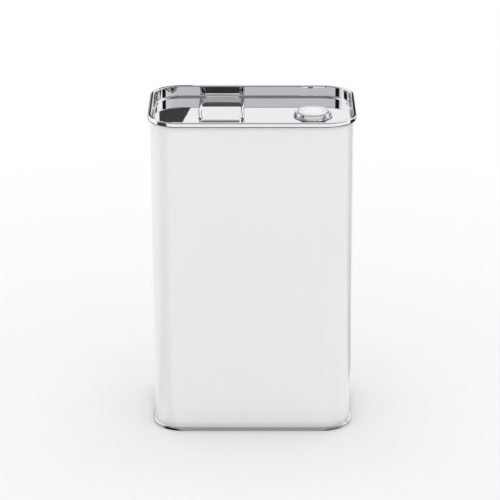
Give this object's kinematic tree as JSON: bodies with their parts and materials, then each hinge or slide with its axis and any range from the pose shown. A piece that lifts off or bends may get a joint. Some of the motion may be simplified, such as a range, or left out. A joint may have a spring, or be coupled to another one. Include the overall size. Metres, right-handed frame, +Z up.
{
  "type": "rectangular can",
  "caption": "Rectangular white-lacquered tinplate can with a recessed bright top, a cross-wise strap handle and a pull-out pouring spout with a screw cap.",
  "frame": {"origin": "centre of the can's outline at the height of the bottom seam's lowest edge, which it stands on", "axes": "+Z up, +X along the wide front towards the spout, -Y out of the front"},
  "size_m": [0.165, 0.106, 0.2635],
  "materials": {
    "white_lacquer": "satin white lacquer on tinplate",
    "bright_tinplate": "bright polished tinplate",
    "white_plastic": "moulded white polyethylene",
    "grey_rubber": "matt sealing compound"
  },
  "bodies": {
    "can": {"body_wall": "white_lacquer", "top_end": "bright_tinplate", "bottom_end": "bright_tinplate", "top_seam_compound": "grey_rubber", "bottom_seam_compound": "grey_rubber", "handle_strap": "bright_tinplate", "neck_gasket": "grey_rubber", "spout_collar": "bright_tinplate", "spout_guide": "white_plastic"},
    "spout": {"spout_tube": "white_plastic"},
    "liner": {"cap_liner": "grey_rubber"},
    "cap": {"spout_cap": "white_plastic"},
    "ring": {"pull_ring": "white_plastic"}
  },
  "joints": [
    {"name": "spout_pull", "type": "slide", "parent": "can", "child": "spout", "axis": [0, 0, 1], "range_m": [0, 0.019]},
    {"name": "cap_lift", "type": "slide", "parent": "spout", "child": "liner", "axis": [0, 0, 1], "range_m": [0, 0.025]},
    {"name": "cap_turn", "type": "hinge", "parent": "liner", "child": "cap", "pos_m": [0.0486, -0.004, 0.2541], "axis": [0, 0, 1], "range_deg": [0, 720]},
    {"name": "ring_lift", "type": "hinge", "parent": "cap", "child": "ring", "pos_m": [0.0486, 0.0064, 0.2589], "axis": [-1, 0, 0], "range_deg": [0, 90]}
  ]
}
